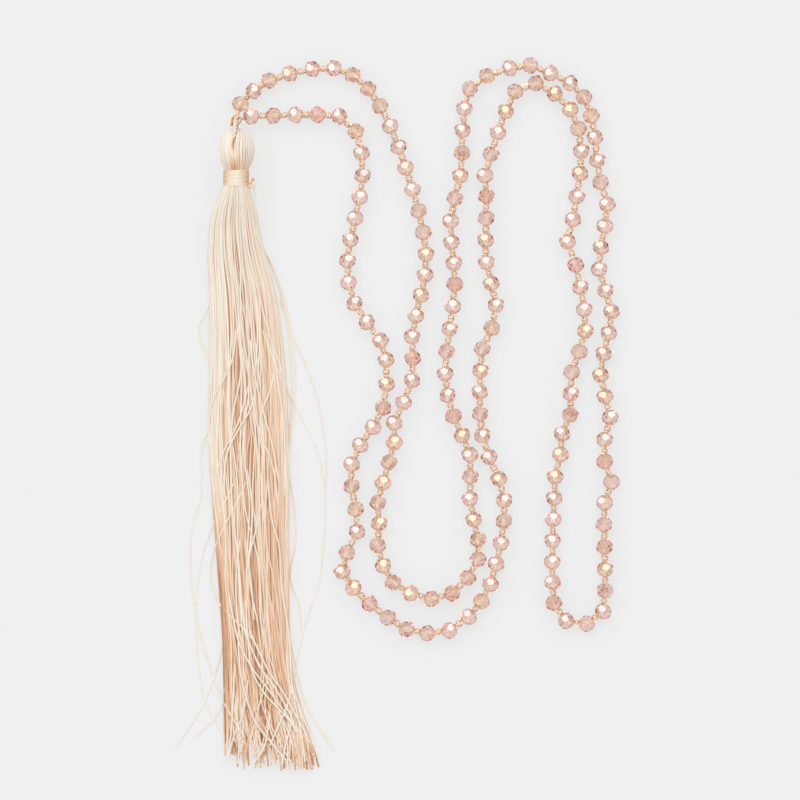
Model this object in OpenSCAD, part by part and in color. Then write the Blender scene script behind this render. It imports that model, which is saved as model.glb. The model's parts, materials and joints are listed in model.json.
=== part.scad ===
// Long knotted bead necklace with a thread tassel, lying on a flat surface.
// +X runs to the right, +Y runs up towards the loops of beads, +Z is up from the surface.
// The origin is in the middle of the laid-out necklace, on the surface.

/* [Beads] */
// Diameter of each round bead
bead_d = 6; // [5.6:0.1:6.2]
// How far the last bead is lifted off the surface by the joining knot
last_bead_lift = 1.5; // [0:0.1:3]

/* [Thread] */
// Diameter of the thread through the beads
thread_d = 0.9; // [0.6:0.1:1.1]
// Diameter of a full knot between two beads
knot_d = 2; // [1.4:0.1:2.4]
// Diameter of the knot that joins both thread ends to the tassel
joining_knot_d = 4; // [3.6:0.1:4.4]

/* [Hanging loop] */
// Diameter of the twisted cord of the loop
loop_cord_d = 2; // [1.6:0.1:2.2]
// Diameter of the loop, measured in the middle of its cord
loop_d = 9.6; // [9:0.1:10]

/* [Tassel] */
// Greatest diameter of the folded head
head_d = 12.7; // [12:0.1:13]
// Length of the head from its top to the binding
head_length = 14.7; // [13:0.1:16]
// Diameter of the neck that the binding is wound on
neck_d = 7.6; // [7:0.1:8]
// Outer diameter of the binding
binding_d = 9.5; // [9:0.1:10]
// Length of the binding along the tassel
binding_length = 6.6; // [5:0.1:8]
// Width of the crease where the head is split by the loop
crease_w = 1; // [0.6:0.1:1.4]
// Length of the crease on the upper side of the head
crease_length = 5; // [3:0.1:6]
// Depth of the crease
crease_depth = 2.4; // [1:0.1:3]
// Diameter of the small knot that ties the binding off
tie_knot_d = 2.2; // [1.8:0.1:2.6]

/* [Fit] */
// Gap left between neighbouring pieces
piece_gap = 0.15; // [0.1:0.05:0.3]

/* [Hidden] */
$fn = 48;
// The beads are grouped along the thread in strands of equal count.
strand_count = 16;
beads_per_strand = 11;
bead_count = strand_count * beads_per_strand;
bead_r = bead_d / 2;
strand_names = [for (s = [1:strand_count]) str("bead_strand_", s < 10 ? "0" : "", s)];

// The way of the thread, in short stretches. Columns: number of the bead, across (X), along (Y).
// Only the beads where the strand turns are named, and the others lie on a smooth curve between.
first_arch = [
    [1, -63, 112],
    [3, -52.5, 120.5],
    [6, -29, 125],
    [8, -16.5, 117.5],
    [11, -5.5, 96.5],
];
left_fall = [
    [16, 4.5, 57.5],
    [20, -0.5, 27.5],
    [22, -0.5, 11.5],
    [24, -7, -4],
    [25, -7, -11],
    [28, -13, -33],
    [29, -12.5, -40.5],
    [30, -13, -48.5],
];
inner_bend = [
    [32, -7.5, -62],
    [34, 6.5, -68],
    [35, 14, -66],
    [37, 23.5, -53.5],
];
middle_rise = [
    [40, 20.5, -31.5],
    [42, 20.5, -15.5],
    [44, 14.5, -1.5],
    [46, 11.5, 14],
    [50, 15, 46.5],
    [53, 13.5, 69.5],
    [55, 17, 86],
];
right_arch = [
    [59, 20.5, 117.5],
    [61, 35, 125],
    [62, 42.5, 126],
    [65, 62, 114.5],
];
right_fall = [
    [69, 68, 83.5],
    [70, 70.5, 75.5],
    [73, 67.5, 52],
    [75, 72, 36.5],
    [78, 68, 13.5],
    [80, 71.5, -2],
    [81, 69.5, -10],
    [82, 69.5, -18],
    [83, 72, -25.5],
    [84, 69.5, -33],
];
right_bend = [
    [89, 69, -72.5],
    [90, 63, -77],
    [91, 55.5, -76],
    [92, 51, -69.5],
];
inner_rise = [
    [98, 51.5, -23.5],
    [99, 53.5, -15.5],
    [100, 54, -8],
    [101, 57, -1],
    [103, 57.5, 14.5],
    [105, 62.5, 29.5],
    [108, 59, 53.5],
    [109, 56, 62],
    [110, 58, 70],
    [113, 61, 95],
];
inner_arch = [
    [115, 57, 110],
    [117, 44.5, 119.5],
    [118, 37, 116.5],
];
middle_fall = [
    [122, 26, 86],
    [123, 26.5, 78.5],
    [126, 26.5, 54.5],
    [128, 30, 39],
    [129, 28.5, 30.5],
    [130, 25, 23],
    [134, 25, -8.5],
    [137, 33, -32],
];
outer_bend = [
    [141, 28, -62.5],
    [143, 20, -74.5],
    [144, 13, -79.5],
    [146, -2.5, -79],
    [150, -26, -58],
    [152, -20.5, -43.5],
];
left_rise = [
    [155, -22.5, -19],
    [158, -11, 1.5],
    [160, -10, 19],
    [161, -12, 26],
    [163, -21.5, 39.5],
    [165, -24, 55],
    [169, -18.5, 86],
];
last_arch = [
    [171, -21, 102],
    [172, -27, 107.5],
    [176, -59, 107.5],
];
route = concat(
    first_arch, left_fall, inner_bend, middle_rise, right_arch, right_fall, right_bend,
    inner_rise, inner_arch, middle_fall, outer_bend, left_rise, last_arch
);

// The tassel lies along Y, and its head rests on the surface.
tassel_x = -64.4;
head_top_y = 102.7;
head_r = head_d / 2;
neck_r = neck_d / 2;
binding_y = head_top_y - head_length;
neck_end = head_length + binding_length;
skirt_y = head_top_y - neck_end - piece_gap;
loop_y = head_top_y - 1.5;
loop_r = loop_d / 2;
cord_r = loop_cord_d / 2;
knot_place = [tassel_x, loop_y + loop_r, head_r];
tie_knot_place = [
    tassel_x + (binding_d + tie_knot_d) / 2 + piece_gap,
    binding_y - binding_length + tie_knot_d / 2,
    head_r
];

// Outline of the head. Columns: part of the length below the top, part of the greatest radius.
head_outline = [
    [0, 0.4],
    [0.02, 0.57],
    [0.05, 0.69],
    [0.11, 0.79],
    [0.2, 0.87],
    [0.36, 0.96],
    [0.54, 1],
    [0.71, 0.96],
    [0.88, 0.83],
    [1, 0.7],
];

// Sections of the skirt. Columns: along (Y), left edge, right edge, upper side, and how low the
// round of the bundle would reach. Whatever is below the surface is pressed flat on it.
skirt_sections = [
    [skirt_y, -69, -59.8, 10.9, 1.8],
    [77, -71.5, -58, 10.6, 1],
    [72, -73.5, -56.5, 9.9, 0.2],
    [66, -74.5, -55.5, 9, -0.4],
    [55, -75, -53, 7.8, -0.8],
    [44, -74.5, -50, 7, -1],
    [22, -74.5, -47, 6, -1.2],
    [-14, -74.5, -45, 5.2, -1.2],
    [-50, -72, -45, 5, -1.2],
    [-86, -69.5, -44.5, 4.8, -1.2],
    [-105, -69.5, -41.5, 4.4, -1.2],
    [-118, -69.5, -38.5, 4, -1.2],
    [-128.7, -69, -37, 3.4, -1.2],
];
// Rings between two rows of the skirt, points round a ring, and how boxy a ring is (1 is round)
rings_per_row = 3;
ring_points = 32;
ring_boxiness = 0.8;

// How far each length of thread reaches into a bead
thread_seat = 0.8;
// The least gap between two beads that has a knot of its own, and the play left beside a knot
least_knot_gap = 1.2;
knot_play = 0.06;

// Smooth curve through the rows of a table whose first column is the place along it
function slope(rows, i) =
    let (a = rows[max(i - 1, 0)], b = rows[min(i + 1, len(rows) - 1)])
    (b - a) / (b[0] - a[0]);
function row_before(rows, s, i = 0) =
    i + 2 >= len(rows) || abs(s - rows[0][0]) < abs(rows[i + 1][0] - rows[0][0])
        ? i : row_before(rows, s, i + 1);
function on_curve(rows, s) =
    let (
        i = row_before(rows, s),
        span = rows[i + 1][0] - rows[i][0],
        u = (s - rows[i][0]) / span,
        uu = u * u,
        uuu = uu * u
    )
    (2 * uuu - 3 * uu + 1) * rows[i]
    + (uuu - 2 * uu + u) * span * slope(rows, i)
    + (3 * uu - 2 * uuu) * rows[i + 1]
    + (uuu - uu) * span * slope(rows, i + 1);

// Centre of bead n
function bead_place(n) =
    let (p = on_curve(route, n))
    [p[1], p[2], bead_r + (n == bead_count ? last_bead_lift : 0)];
bead_places = [for (n = [1:bead_count]) bead_place(n)];

// Centre of the bead at index n, or of the joining knot before the first bead and after the last
function thread_place(n) = n < 0 || n >= bead_count ? knot_place : bead_places[n];

// A round rod from one point to another
module rod(from, to, d) {
    way = to - from;
    translate(from)
        rotate([0, acos(way[2] / norm(way)), atan2(way[1], way[0])])
            cylinder(h = norm(way), d = d);
}

// A ball on the thread, turned about Z so that its seam is beside the thread and not under it
module ball_on_thread(place, way, d) {
    translate(place)
        rotate([0, 0, atan2(way[1], way[0]) + 90])
            sphere(d = d);
}

// The thread from one bead to the next, with a knot in the gap where there is room for one
module knotted_thread(from, to) {
    way = to - from;
    inset = way * (bead_r - thread_seat) / norm(way);
    free = norm(way) - bead_d;
    rod(from + inset, to - inset, thread_d);
    if (free > least_knot_gap)
        ball_on_thread((from + to) / 2, way, min(knot_d, free - knot_play));
}

// The thread from the last bead of a strand, cut just before the knot that follows
module thread_end(from, to, to_d) {
    way = to - from;
    start = from + way * (bead_r - thread_seat) / norm(way);
    tip = from + way * (1 - (to_d / 2 + piece_gap) / norm(way));
    rod(start, tip, thread_d);
}

// The thread and full knot at the end of a strand, clear of the bead that follows
module end_knot(from, to) {
    way = to - from;
    d = min(knot_d, norm(way) - bead_d - piece_gap - knot_play);
    middle = from + way * (1 - (bead_r + piece_gap + d / 2) / norm(way));
    rod(from + way * (bead_r - thread_seat) / norm(way), middle, thread_d);
    ball_on_thread(middle, way, d);
}

// Strand s: its beads on their knotted thread
module bead_strand(s) {
    first = (s - 1) * beads_per_strand;
    last = first + beads_per_strand - 1;
    color("#d8aa92") {
        for (n = [first:last])
            ball_on_thread(bead_places[n], thread_place(n + 1) - thread_place(n - 1), bead_d);
        for (n = [first:last - 1])
            knotted_thread(bead_places[n], bead_places[n + 1]);
        if (s == 1)
            thread_end(bead_places[0], knot_place, joining_knot_d);
        if (s == strand_count)
            thread_end(bead_places[last], knot_place, joining_knot_d);
        else
            end_knot(bead_places[last], bead_places[last + 1]);
    }
}

// A ring that stands upright along the tassel, through the folded head
module upright_ring(cord_d) {
    translate([tassel_x, loop_y, head_r])
        rotate([0, 90, 0])
            rotate_extrude()
                translate([loop_r, 0])
                    circle(d = cord_d);
}

// The knot of the thread ends, tied round the hanging loop
module joining_knot() {
    color("#e8b58c")
        difference() {
            translate(knot_place)
                sphere(d = joining_knot_d);
            upright_ring(loop_cord_d + 2 * piece_gap);
        }
}

// The twisted cord loop that carries the tassel
module hanging_loop() {
    color("#efdcc4") upright_ring(loop_cord_d);
}

// The slot for the loop: open to the outside of the head, closed towards its middle
module loop_slot() {
    translate([tassel_x, loop_y, head_r])
        rotate([0, 90, 0])
            difference() {
                cylinder(h = loop_cord_d + 2 * piece_gap, r = loop_r + cord_r + piece_gap, center = true);
                cylinder(h = loop_cord_d + 1, r = loop_r - cord_r - piece_gap, center = true);
            }
}

// The folded head of the tassel with its neck, split by the loop
module tassel_head() {
    color("#efdcc4")
        difference() {
            translate([tassel_x, head_top_y, head_r])
                rotate([90, 0, 0])
                    rotate_extrude()
                        polygon(concat(
                            [[0, 0]],
                            [for (row = head_outline) [row[1] * head_r, row[0] * head_length]],
                            [[neck_r, head_length], [neck_r, neck_end], [0, neck_end]]
                        ));
            loop_slot();
            translate([tassel_x - crease_w / 2, loop_y - loop_r - crease_length / 2, head_d - crease_depth])
                cube([crease_w, crease_length, crease_depth + 1]);
        }
}

// The thread wound round the neck
module tassel_binding() {
    wall = (binding_d - neck_d) / 2 - piece_gap;
    round_r = wall / 2;
    length = binding_length - 2 * piece_gap;
    color("#ecd3b6")
        translate([tassel_x, binding_y - piece_gap, head_r])
            rotate([90, 0, 0])
                rotate_extrude()
                    translate([neck_r + piece_gap, 0]) {
                        translate([0, round_r])
                            square([wall, length - 2 * round_r]);
                        translate([round_r, round_r])
                            circle(r = round_r);
                        translate([round_r, length - round_r])
                            circle(r = round_r);
                    }
}

// The small knot that ties off the binding
module binding_knot() {
    color("#e3a67c")
        translate(tie_knot_place)
            sphere(d = tie_knot_d);
}

// One ring of the skirt, as points
function skirt_ring(row) =
    let (
        mid_x = (row[1] + row[2]) / 2,
        half_w = (row[2] - row[1]) / 2,
        mid_z = (row[3] + row[4]) / 2,
        half_h = (row[3] - row[4]) / 2
    )
    [
        for (i = [0:ring_points - 1])
            let (a = 360 * i / ring_points)
            [
                mid_x + half_w * sign(cos(a)) * pow(abs(cos(a)), ring_boxiness),
                row[0],
                max(0, mid_z + half_h * sin(a))
            ]
    ];

// The hanging threads, as one solid of their outer form
module tassel_skirt() {
    rows = len(skirt_sections);
    rings = [
        for (r = [0:rows - 2], part = [0:rings_per_row - 1])
            let (
                from = skirt_sections[r][0],
                to = skirt_sections[r + 1][0]
            )
            skirt_ring(on_curve(skirt_sections, from + (to - from) * part / rings_per_row)),
        skirt_ring(skirt_sections[rows - 1])
    ];
    last = len(rings) - 1;
    n = ring_points;
    color("#ecd3b6")
        polyhedron(
            points = [for (ring = rings) each ring],
            faces = concat(
                [[for (i = [0:n - 1]) i]],
                [[for (i = [0:n - 1]) last * n + n - 1 - i]],
                [
                    for (r = [0:last - 1], i = [0:n - 1])
                        let (j = (i + 1) % n)
                        [r * n + i, (r + 1) * n + i, (r + 1) * n + j, r * n + j]
                ]
            )
        );
}

for (s = [1:strand_count])
    bead_strand(s);
joining_knot();
hanging_loop();
tassel_head();
tassel_binding();
binding_knot();
tassel_skirt();
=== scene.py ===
# %% [markdown]
# # A long knotted bead necklace with a thread tassel
# This lesson dresses a necklace that was first built as exact solids. It lies on a pale table: one long
# loop of cut glass beads with a knot after every bead, and a silky tassel that hangs from a twisted cord.
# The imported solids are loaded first, as a fixed frame. Every piece made here sits where its solid sits.

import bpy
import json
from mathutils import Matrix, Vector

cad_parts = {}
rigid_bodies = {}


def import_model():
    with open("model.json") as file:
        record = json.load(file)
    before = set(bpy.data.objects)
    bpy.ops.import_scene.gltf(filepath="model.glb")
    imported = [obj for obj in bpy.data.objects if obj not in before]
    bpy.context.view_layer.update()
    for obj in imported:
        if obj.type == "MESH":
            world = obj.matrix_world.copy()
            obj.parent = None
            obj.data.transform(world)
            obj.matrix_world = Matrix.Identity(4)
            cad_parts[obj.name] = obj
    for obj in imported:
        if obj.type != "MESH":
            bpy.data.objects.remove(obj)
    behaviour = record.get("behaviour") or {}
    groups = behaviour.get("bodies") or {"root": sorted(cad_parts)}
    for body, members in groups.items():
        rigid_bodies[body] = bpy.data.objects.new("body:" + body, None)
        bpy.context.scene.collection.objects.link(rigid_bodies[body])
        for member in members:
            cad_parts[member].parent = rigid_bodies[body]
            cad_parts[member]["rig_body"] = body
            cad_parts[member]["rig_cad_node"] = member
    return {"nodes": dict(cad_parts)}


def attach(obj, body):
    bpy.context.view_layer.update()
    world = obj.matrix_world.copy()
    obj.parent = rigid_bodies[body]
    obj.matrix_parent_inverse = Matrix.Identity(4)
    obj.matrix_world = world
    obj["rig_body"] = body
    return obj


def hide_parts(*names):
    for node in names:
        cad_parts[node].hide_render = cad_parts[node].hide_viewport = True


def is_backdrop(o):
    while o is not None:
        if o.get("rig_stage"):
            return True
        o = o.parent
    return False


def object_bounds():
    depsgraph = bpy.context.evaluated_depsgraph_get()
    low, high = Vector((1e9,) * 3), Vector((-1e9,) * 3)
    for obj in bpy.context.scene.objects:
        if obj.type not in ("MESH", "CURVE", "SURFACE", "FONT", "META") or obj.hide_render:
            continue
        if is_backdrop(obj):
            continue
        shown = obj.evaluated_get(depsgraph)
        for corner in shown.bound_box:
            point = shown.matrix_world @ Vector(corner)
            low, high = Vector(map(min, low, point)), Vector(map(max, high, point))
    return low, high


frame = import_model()
solid_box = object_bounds()
print("solids:", len(frame["nodes"]), "lowest corner", [round(v, 4) for v in solid_box[0]])

# %% [markdown]
# ## Numbers that everything shares
# The route and the outlines below are written in millimetres, as a jeweller would note them, and MM turns
# them into Blender's metres. PX is the size of one pixel of the photograph, because some loose threads were
# read off the photograph. spot() turns such a reading into a place on the table, counted from the
# necklace's own middle, which lies a little to the right of the photograph's and below it.

# %% Units and readings
import json
import math
import random

import bmesh
import bpy
import numpy as np
from mathutils import Vector

MM = 0.001
PX = 0.36364
PHOTO_SIDE = 800
MIDDLE_ACROSS, MIDDLE_DOWN = 413.5, 412.0


def spot(across, down):
    """A place read off the photograph, in millimetres to the right and up the table."""
    return (across - MIDDLE_ACROSS) * PX, (MIDDLE_DOWN - down) * PX


print("the photograph is", round(PHOTO_SIDE * PX, 1), "mm wide")

# %% [markdown]
# ## The camera
# The photograph was taken straight from above with a long lens, so the beads near the edges look as round
# as those in the middle. A camera 2.6 m up with a matching long lens gives the same flat view. The lens
# follows from the width of the view: focal length = sensor width x distance / width seen.

# %% Camera straight above
VIEW_MIDDLE = spot(PHOTO_SIDE / 2, PHOTO_SIDE / 2)
CAMERA_HEIGHT = 2.6
BEAD_MIDDLES = 3 * MM
SENSOR = 36.0
view_width = PHOTO_SIDE * PX * MM

lens = bpy.data.cameras.new("long_lens")
lens.sensor_width = SENSOR
lens.lens = SENSOR * (CAMERA_HEIGHT - BEAD_MIDDLES) / view_width
lens.clip_end = 20
camera = bpy.data.objects.new("camera", lens)
camera.location = (VIEW_MIDDLE[0] * MM, VIEW_MIDDLE[1] * MM, CAMERA_HEIGHT)
bpy.context.scene.collection.objects.link(camera)
bpy.context.scene.camera = camera
print("lens", round(lens.lens), "mm, view", round(view_width * 1000, 1), "mm wide")

# %% [markdown]
# ## The table and the light
# Such a necklace is laid on a glowing light table, which leaves only faint shadows, with a long soft box
# above the far side and white walls around. The table is one big flat square, a hair below the beads. The
# soft box is an area lamp behind the top of the picture and a little to the left, the side that the shadows
# point away from. It is wide, so that it shines in one flat facet of nearly every bead.

# %% Light table
def plain_material(name, colour, rough):
    """A new material, its tree and its Principled shader, with a plain colour to start from."""
    material = bpy.data.materials.new(name)
    material.use_nodes = True
    shader = material.node_tree.nodes["Principled BSDF"]
    shader.inputs["Base Color"].default_value = (*colour, 1)
    shader.inputs["Roughness"].default_value = rough
    return material, material.node_tree, shader


def glow(shader, colour, strength):
    """Lets a shader give off a plain light of its own."""
    shader.inputs["Emission Color"].default_value = (*colour, 1)
    shader.inputs["Emission Strength"].default_value = strength


def new_object(name, mesh):
    """A mesh as an object at the origin, linked to the scene."""
    piece = bpy.data.objects.new(name, mesh)
    bpy.context.scene.collection.objects.link(piece)
    return piece


BOARD_HALF = 3.0
BOARD_LOW = -0.00005

board_mesh = bpy.data.meshes.new("light_table")
corners = [(x * BOARD_HALF, y * BOARD_HALF, BOARD_LOW) for x, y in ((-1, -1), (1, -1), (1, 1), (-1, 1))]
board_mesh.from_pydata(corners, [], [(0, 1, 2, 3)])
board = new_object("light_table", board_mesh)
table_white, _, table_shader = plain_material("table_white", (0.14, 0.14, 0.14), 0.9)
glow(table_shader, (1, 1, 1), 0.686)
board.data.materials.append(table_white)
board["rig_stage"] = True
print("light table", 2 * BOARD_HALF, "m wide")

# %% Soft box
def soft_box(name, place, aim, width, depth, power):
    """A long area lamp at place, turned to shine at aim, that the camera doesn't see."""
    lamp = bpy.data.lights.new(name, "AREA")
    lamp.shape = "RECTANGLE"
    lamp.size = width
    lamp.size_y = depth
    lamp.energy = power
    holder = bpy.data.objects.new(name, lamp)
    holder.location = place
    holder.rotation_euler = (Vector(aim) - Vector(place)).to_track_quat("-Z", "Y").to_euler()
    holder.visible_camera = False
    bpy.context.scene.collection.objects.link(holder)


SOFT_BOX_PLACE = (-0.8, 2.4, 3.0)
soft_box("far_soft_box", SOFT_BOX_PLACE, aim=(0, 0, 0), width=5.6, depth=3.0, power=96)

# %% [markdown]
# ## The room
# The world stands for the room. Its walls are white, but dimmer near the table, and straight above is the
# dark patch that a camera and its stand leave, so that each bead has darker flats beside its shining ones.
# A Color Ramp gives all this from how steeply a ray goes up. Standard colours are chosen, not a film look,
# so that a pale table stays the pale grey of the photograph. Light may bounce often, since it zigzags
# inside cut glass and between silk threads.

# %% White walls and bounces
def colour_ramp(tree, factor, stops):
    """A Color Ramp from (place, colour) stops, read at factor; gives its output."""
    node = tree.nodes.new("ShaderNodeValToRGB")
    tree.links.new(factor, node.inputs["Fac"])
    marks = node.color_ramp.elements
    for number, (place, colour) in enumerate(stops):
        mark = marks[number] if number < 2 else marks.new(place)
        mark.position = place
        mark.color = (*colour, 1)
    return node.outputs["Color"]


def light_room(name, stops, strength):
    """A room whose walls change with height: stops run from 0, level with the table, to 1, straight above."""
    room = bpy.data.worlds.new(name)
    room.use_nodes = True
    tree = room.node_tree
    way = tree.nodes.new("ShaderNodeTexCoord")
    parts = tree.nodes.new("ShaderNodeSeparateXYZ")
    tree.links.new(way.outputs["Generated"], parts.inputs[0])
    light = colour_ramp(tree, parts.outputs["Z"], stops)
    tree.links.new(light, tree.nodes["Background"].inputs["Color"])
    tree.nodes["Background"].inputs["Strength"].default_value = strength
    return room


WALLS = (0.97, 0.98, 1.0)
DIM_WALLS = tuple(0.15 * value for value in WALLS)
CAMERA_PATCH = (0.05, 0.045, 0.045)
room_stops = [(0.05, DIM_WALLS), (0.5, WALLS), (0.93, WALLS), (0.965, CAMERA_PATCH)]
bpy.context.scene.world = light_room("white_walls", room_stops, strength=1.05)
bpy.context.scene.view_settings.view_transform = "Standard"
bounces = bpy.context.scene.cycles
bounces.max_bounces = 24
bounces.transmission_bounces = 24
bounces.glossy_bounces = 16
bounces.diffuse_bounces = 8
print("bounces:", bounces.max_bounces, "at most,", bounces.glossy_bounces, "of them glossy")

# %% [markdown]
# ## The way of the thread
# The necklace is one thread laid in long loops. The solids name 79 of its 176 beads, and a smooth curve
# carries the beads between. The same rows are repeated here, so each glass bead lands on its solid: number of
# the bead, place across and place along, in millimetres. All 176 places were read off the photograph.
# They were rounded to half a millimetre, and a few were moved where beads touch. A small program then
# chose the rows: it left out one bead after another, as long as the curve stayed within a millimetre of all
# of them. So these rows weren't chosen by hand.

# %% Route rows
ROUTE = [
    (1, -63, 112), (3, -52.5, 120.5), (6, -29, 125), (8, -16.5, 117.5), (11, -5.5, 96.5),
    (16, 4.5, 57.5), (20, -0.5, 27.5), (22, -0.5, 11.5), (24, -7, -4), (25, -7, -11),
    (28, -13, -33), (29, -12.5, -40.5), (30, -13, -48.5),
    (32, -7.5, -62), (34, 6.5, -68), (35, 14, -66), (37, 23.5, -53.5),
    (40, 20.5, -31.5), (42, 20.5, -15.5), (44, 14.5, -1.5), (46, 11.5, 14), (50, 15, 46.5),
    (53, 13.5, 69.5), (55, 17, 86),
    (59, 20.5, 117.5), (61, 35, 125), (62, 42.5, 126), (65, 62, 114.5),
    (69, 68, 83.5), (70, 70.5, 75.5), (73, 67.5, 52), (75, 72, 36.5), (78, 68, 13.5),
    (80, 71.5, -2), (81, 69.5, -10), (82, 69.5, -18), (83, 72, -25.5), (84, 69.5, -33),
    (89, 69, -72.5), (90, 63, -77), (91, 55.5, -76), (92, 51, -69.5),
    (98, 51.5, -23.5), (99, 53.5, -15.5), (100, 54, -8), (101, 57, -1), (103, 57.5, 14.5),
    (105, 62.5, 29.5), (108, 59, 53.5), (109, 56, 62), (110, 58, 70), (113, 61, 95),
    (115, 57, 110), (117, 44.5, 119.5), (118, 37, 116.5),
    (122, 26, 86), (123, 26.5, 78.5), (126, 26.5, 54.5), (128, 30, 39), (129, 28.5, 30.5),
    (130, 25, 23), (134, 25, -8.5), (137, 33, -32),
    (141, 28, -62.5), (143, 20, -74.5), (144, 13, -79.5), (146, -2.5, -79), (150, -26, -58),
    (152, -20.5, -43.5),
    (155, -22.5, -19), (158, -11, 1.5), (160, -10, 19), (161, -12, 26), (163, -21.5, 39.5),
    (165, -24, 55), (169, -18.5, 86),
    (171, -21, 102), (172, -27, 107.5), (176, -59, 107.5),
]
BEADS = 176
BEADS_PER_STRAND = 11
BEAD_RADIUS = 3.0
LAST_BEAD_LIFT = 1.5
KNOT_PLACE = np.array([-64.4, 106.0, 6.35])


def on_curve(rows, where):
    """Smooth values between the rows of a table whose first column is the place along it."""
    rows = np.asarray(rows, float)
    where = np.atleast_1d(np.asarray(where, float))
    sign = 1.0 if rows[-1, 0] > rows[0, 0] else -1.0
    before = np.searchsorted(sign * rows[:, 0], sign * where, side="right") - 1
    before = np.clip(before, 0, len(rows) - 2)
    last = len(rows) - 1
    low = np.clip(np.arange(len(rows)) - 1, 0, last)
    high = np.clip(np.arange(len(rows)) + 1, 0, last)
    slopes = (rows[high] - rows[low]) / (rows[high, :1] - rows[low, :1])
    a, b = rows[before], rows[before + 1]
    span = b[:, :1] - a[:, :1]
    u = (where[:, None] - a[:, :1]) / span
    return (
        (2 * u**3 - 3 * u**2 + 1) * a
        + (u**3 - 2 * u**2 + u) * span * slopes[before]
        + (3 * u**2 - 2 * u**3) * b
        + (u**3 - u**2) * span * slopes[before + 1]
    )


flat = on_curve(ROUTE, np.arange(1, BEADS + 1))[:, 1:3]
bead_places = np.column_stack([flat, np.full(BEADS, BEAD_RADIUS)])
bead_places[-1, 2] += LAST_BEAD_LIFT
with_knot = np.vstack([KNOT_PLACE, bead_places, KNOT_PLACE])
bead_ways = with_knot[2:] - with_knot[:-2]
bead_ways /= np.linalg.norm(bead_ways, axis=1)[:, None]
thread_length = np.linalg.norm(np.diff(bead_places, axis=0), axis=1).sum()
print("beads:", BEADS, "thread through them", round(thread_length / 1000, 3), "m")

# %% [markdown]
# ## Two helpers for Geometry Nodes
# Almost everything on a necklace repeats or follows a path, which is what Geometry Nodes are for. A tree is
# built here in code: named inputs first, then its nodes and links. plain_piece() runs a tree on a simple
# starting mesh and keeps only the finished mesh, so that nothing live is left on the object.

# %% Tree helpers
def new_tree(name, inputs):
    """An empty Geometry Nodes tree with a Geometry input and output and these named inputs."""
    tree = bpy.data.node_groups.new(name, "GeometryNodeTree")
    tree.interface.new_socket("Geometry", in_out="INPUT", socket_type="NodeSocketGeometry")
    for label, kind, value in inputs:
        socket = tree.interface.new_socket(label, in_out="INPUT", socket_type=kind)
        if value is not None:
            socket.default_value = value
    tree.interface.new_socket("Geometry", in_out="OUTPUT", socket_type="NodeSocketGeometry")
    return tree


def add(tree, kind, **inputs):
    """A new node of that kind, with some of its inputs set by name."""
    node = tree.nodes.new(kind)
    for label, value in inputs.items():
        node.inputs[label.replace("_", " ")].default_value = value
    return node


def attribute(tree, action, label, kind):
    """A node that reads (Input) or keeps (Store) the named attribute of that kind."""
    node = add(tree, f"GeometryNode{action}NamedAttribute", Name=label)
    node.data_type = kind
    return node


def plain_piece(name, start, tree, values):
    """Runs a tree on the starting mesh with these input values and keeps the result as a plain mesh."""
    piece = new_object(name, start)
    modifier = piece.modifiers.new(tree.name, "NODES")
    modifier.node_group = tree
    for item in tree.interface.items_tree:
        if item.in_out == "INPUT" and item.name in values:
            modifier[item.identifier] = values[item.name]
    ready = piece.evaluated_get(bpy.context.evaluated_depsgraph_get())
    mesh = bpy.data.meshes.new_from_object(ready)
    mesh.name = name
    piece.modifiers.clear()
    piece.data = mesh
    return piece


def triangles(piece):
    """How many triangles a finished piece has."""
    return sum(len(face.vertices) - 2 for face in piece.data.polygons)


print("helpers ready")

# %% [markdown]
# ## A tree that turns lines into threads
# Every thread, knot, winding and cord here is a line with a thickness. The tree smooths the line, cuts it
# into even steps, and sweeps a small ring along it. It also stores two things for the materials: "along",
# the distance along the thread, and "round", the direction round it. With these a material can draw the
# twist of the plies on any thread, however it bends. Each line also brings "shade" and "own". Shade is
# painted shade together with the thread's own tone: 1 where the thread is pale, 0 where it is painted deep
# in shade and -1 where it is painted as buried in shade among others. Own is a number of its own, so that
# no two threads show their twist at the same place.

# %% The thread tree
thread_tree = new_tree(
    "lines_to_threads",
    [
        ("Step", "NodeSocketFloat", 0.002),
        ("Sides", "NodeSocketInt", 6),
        ("Material", "NodeSocketMaterial", None),
    ],
)


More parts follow.
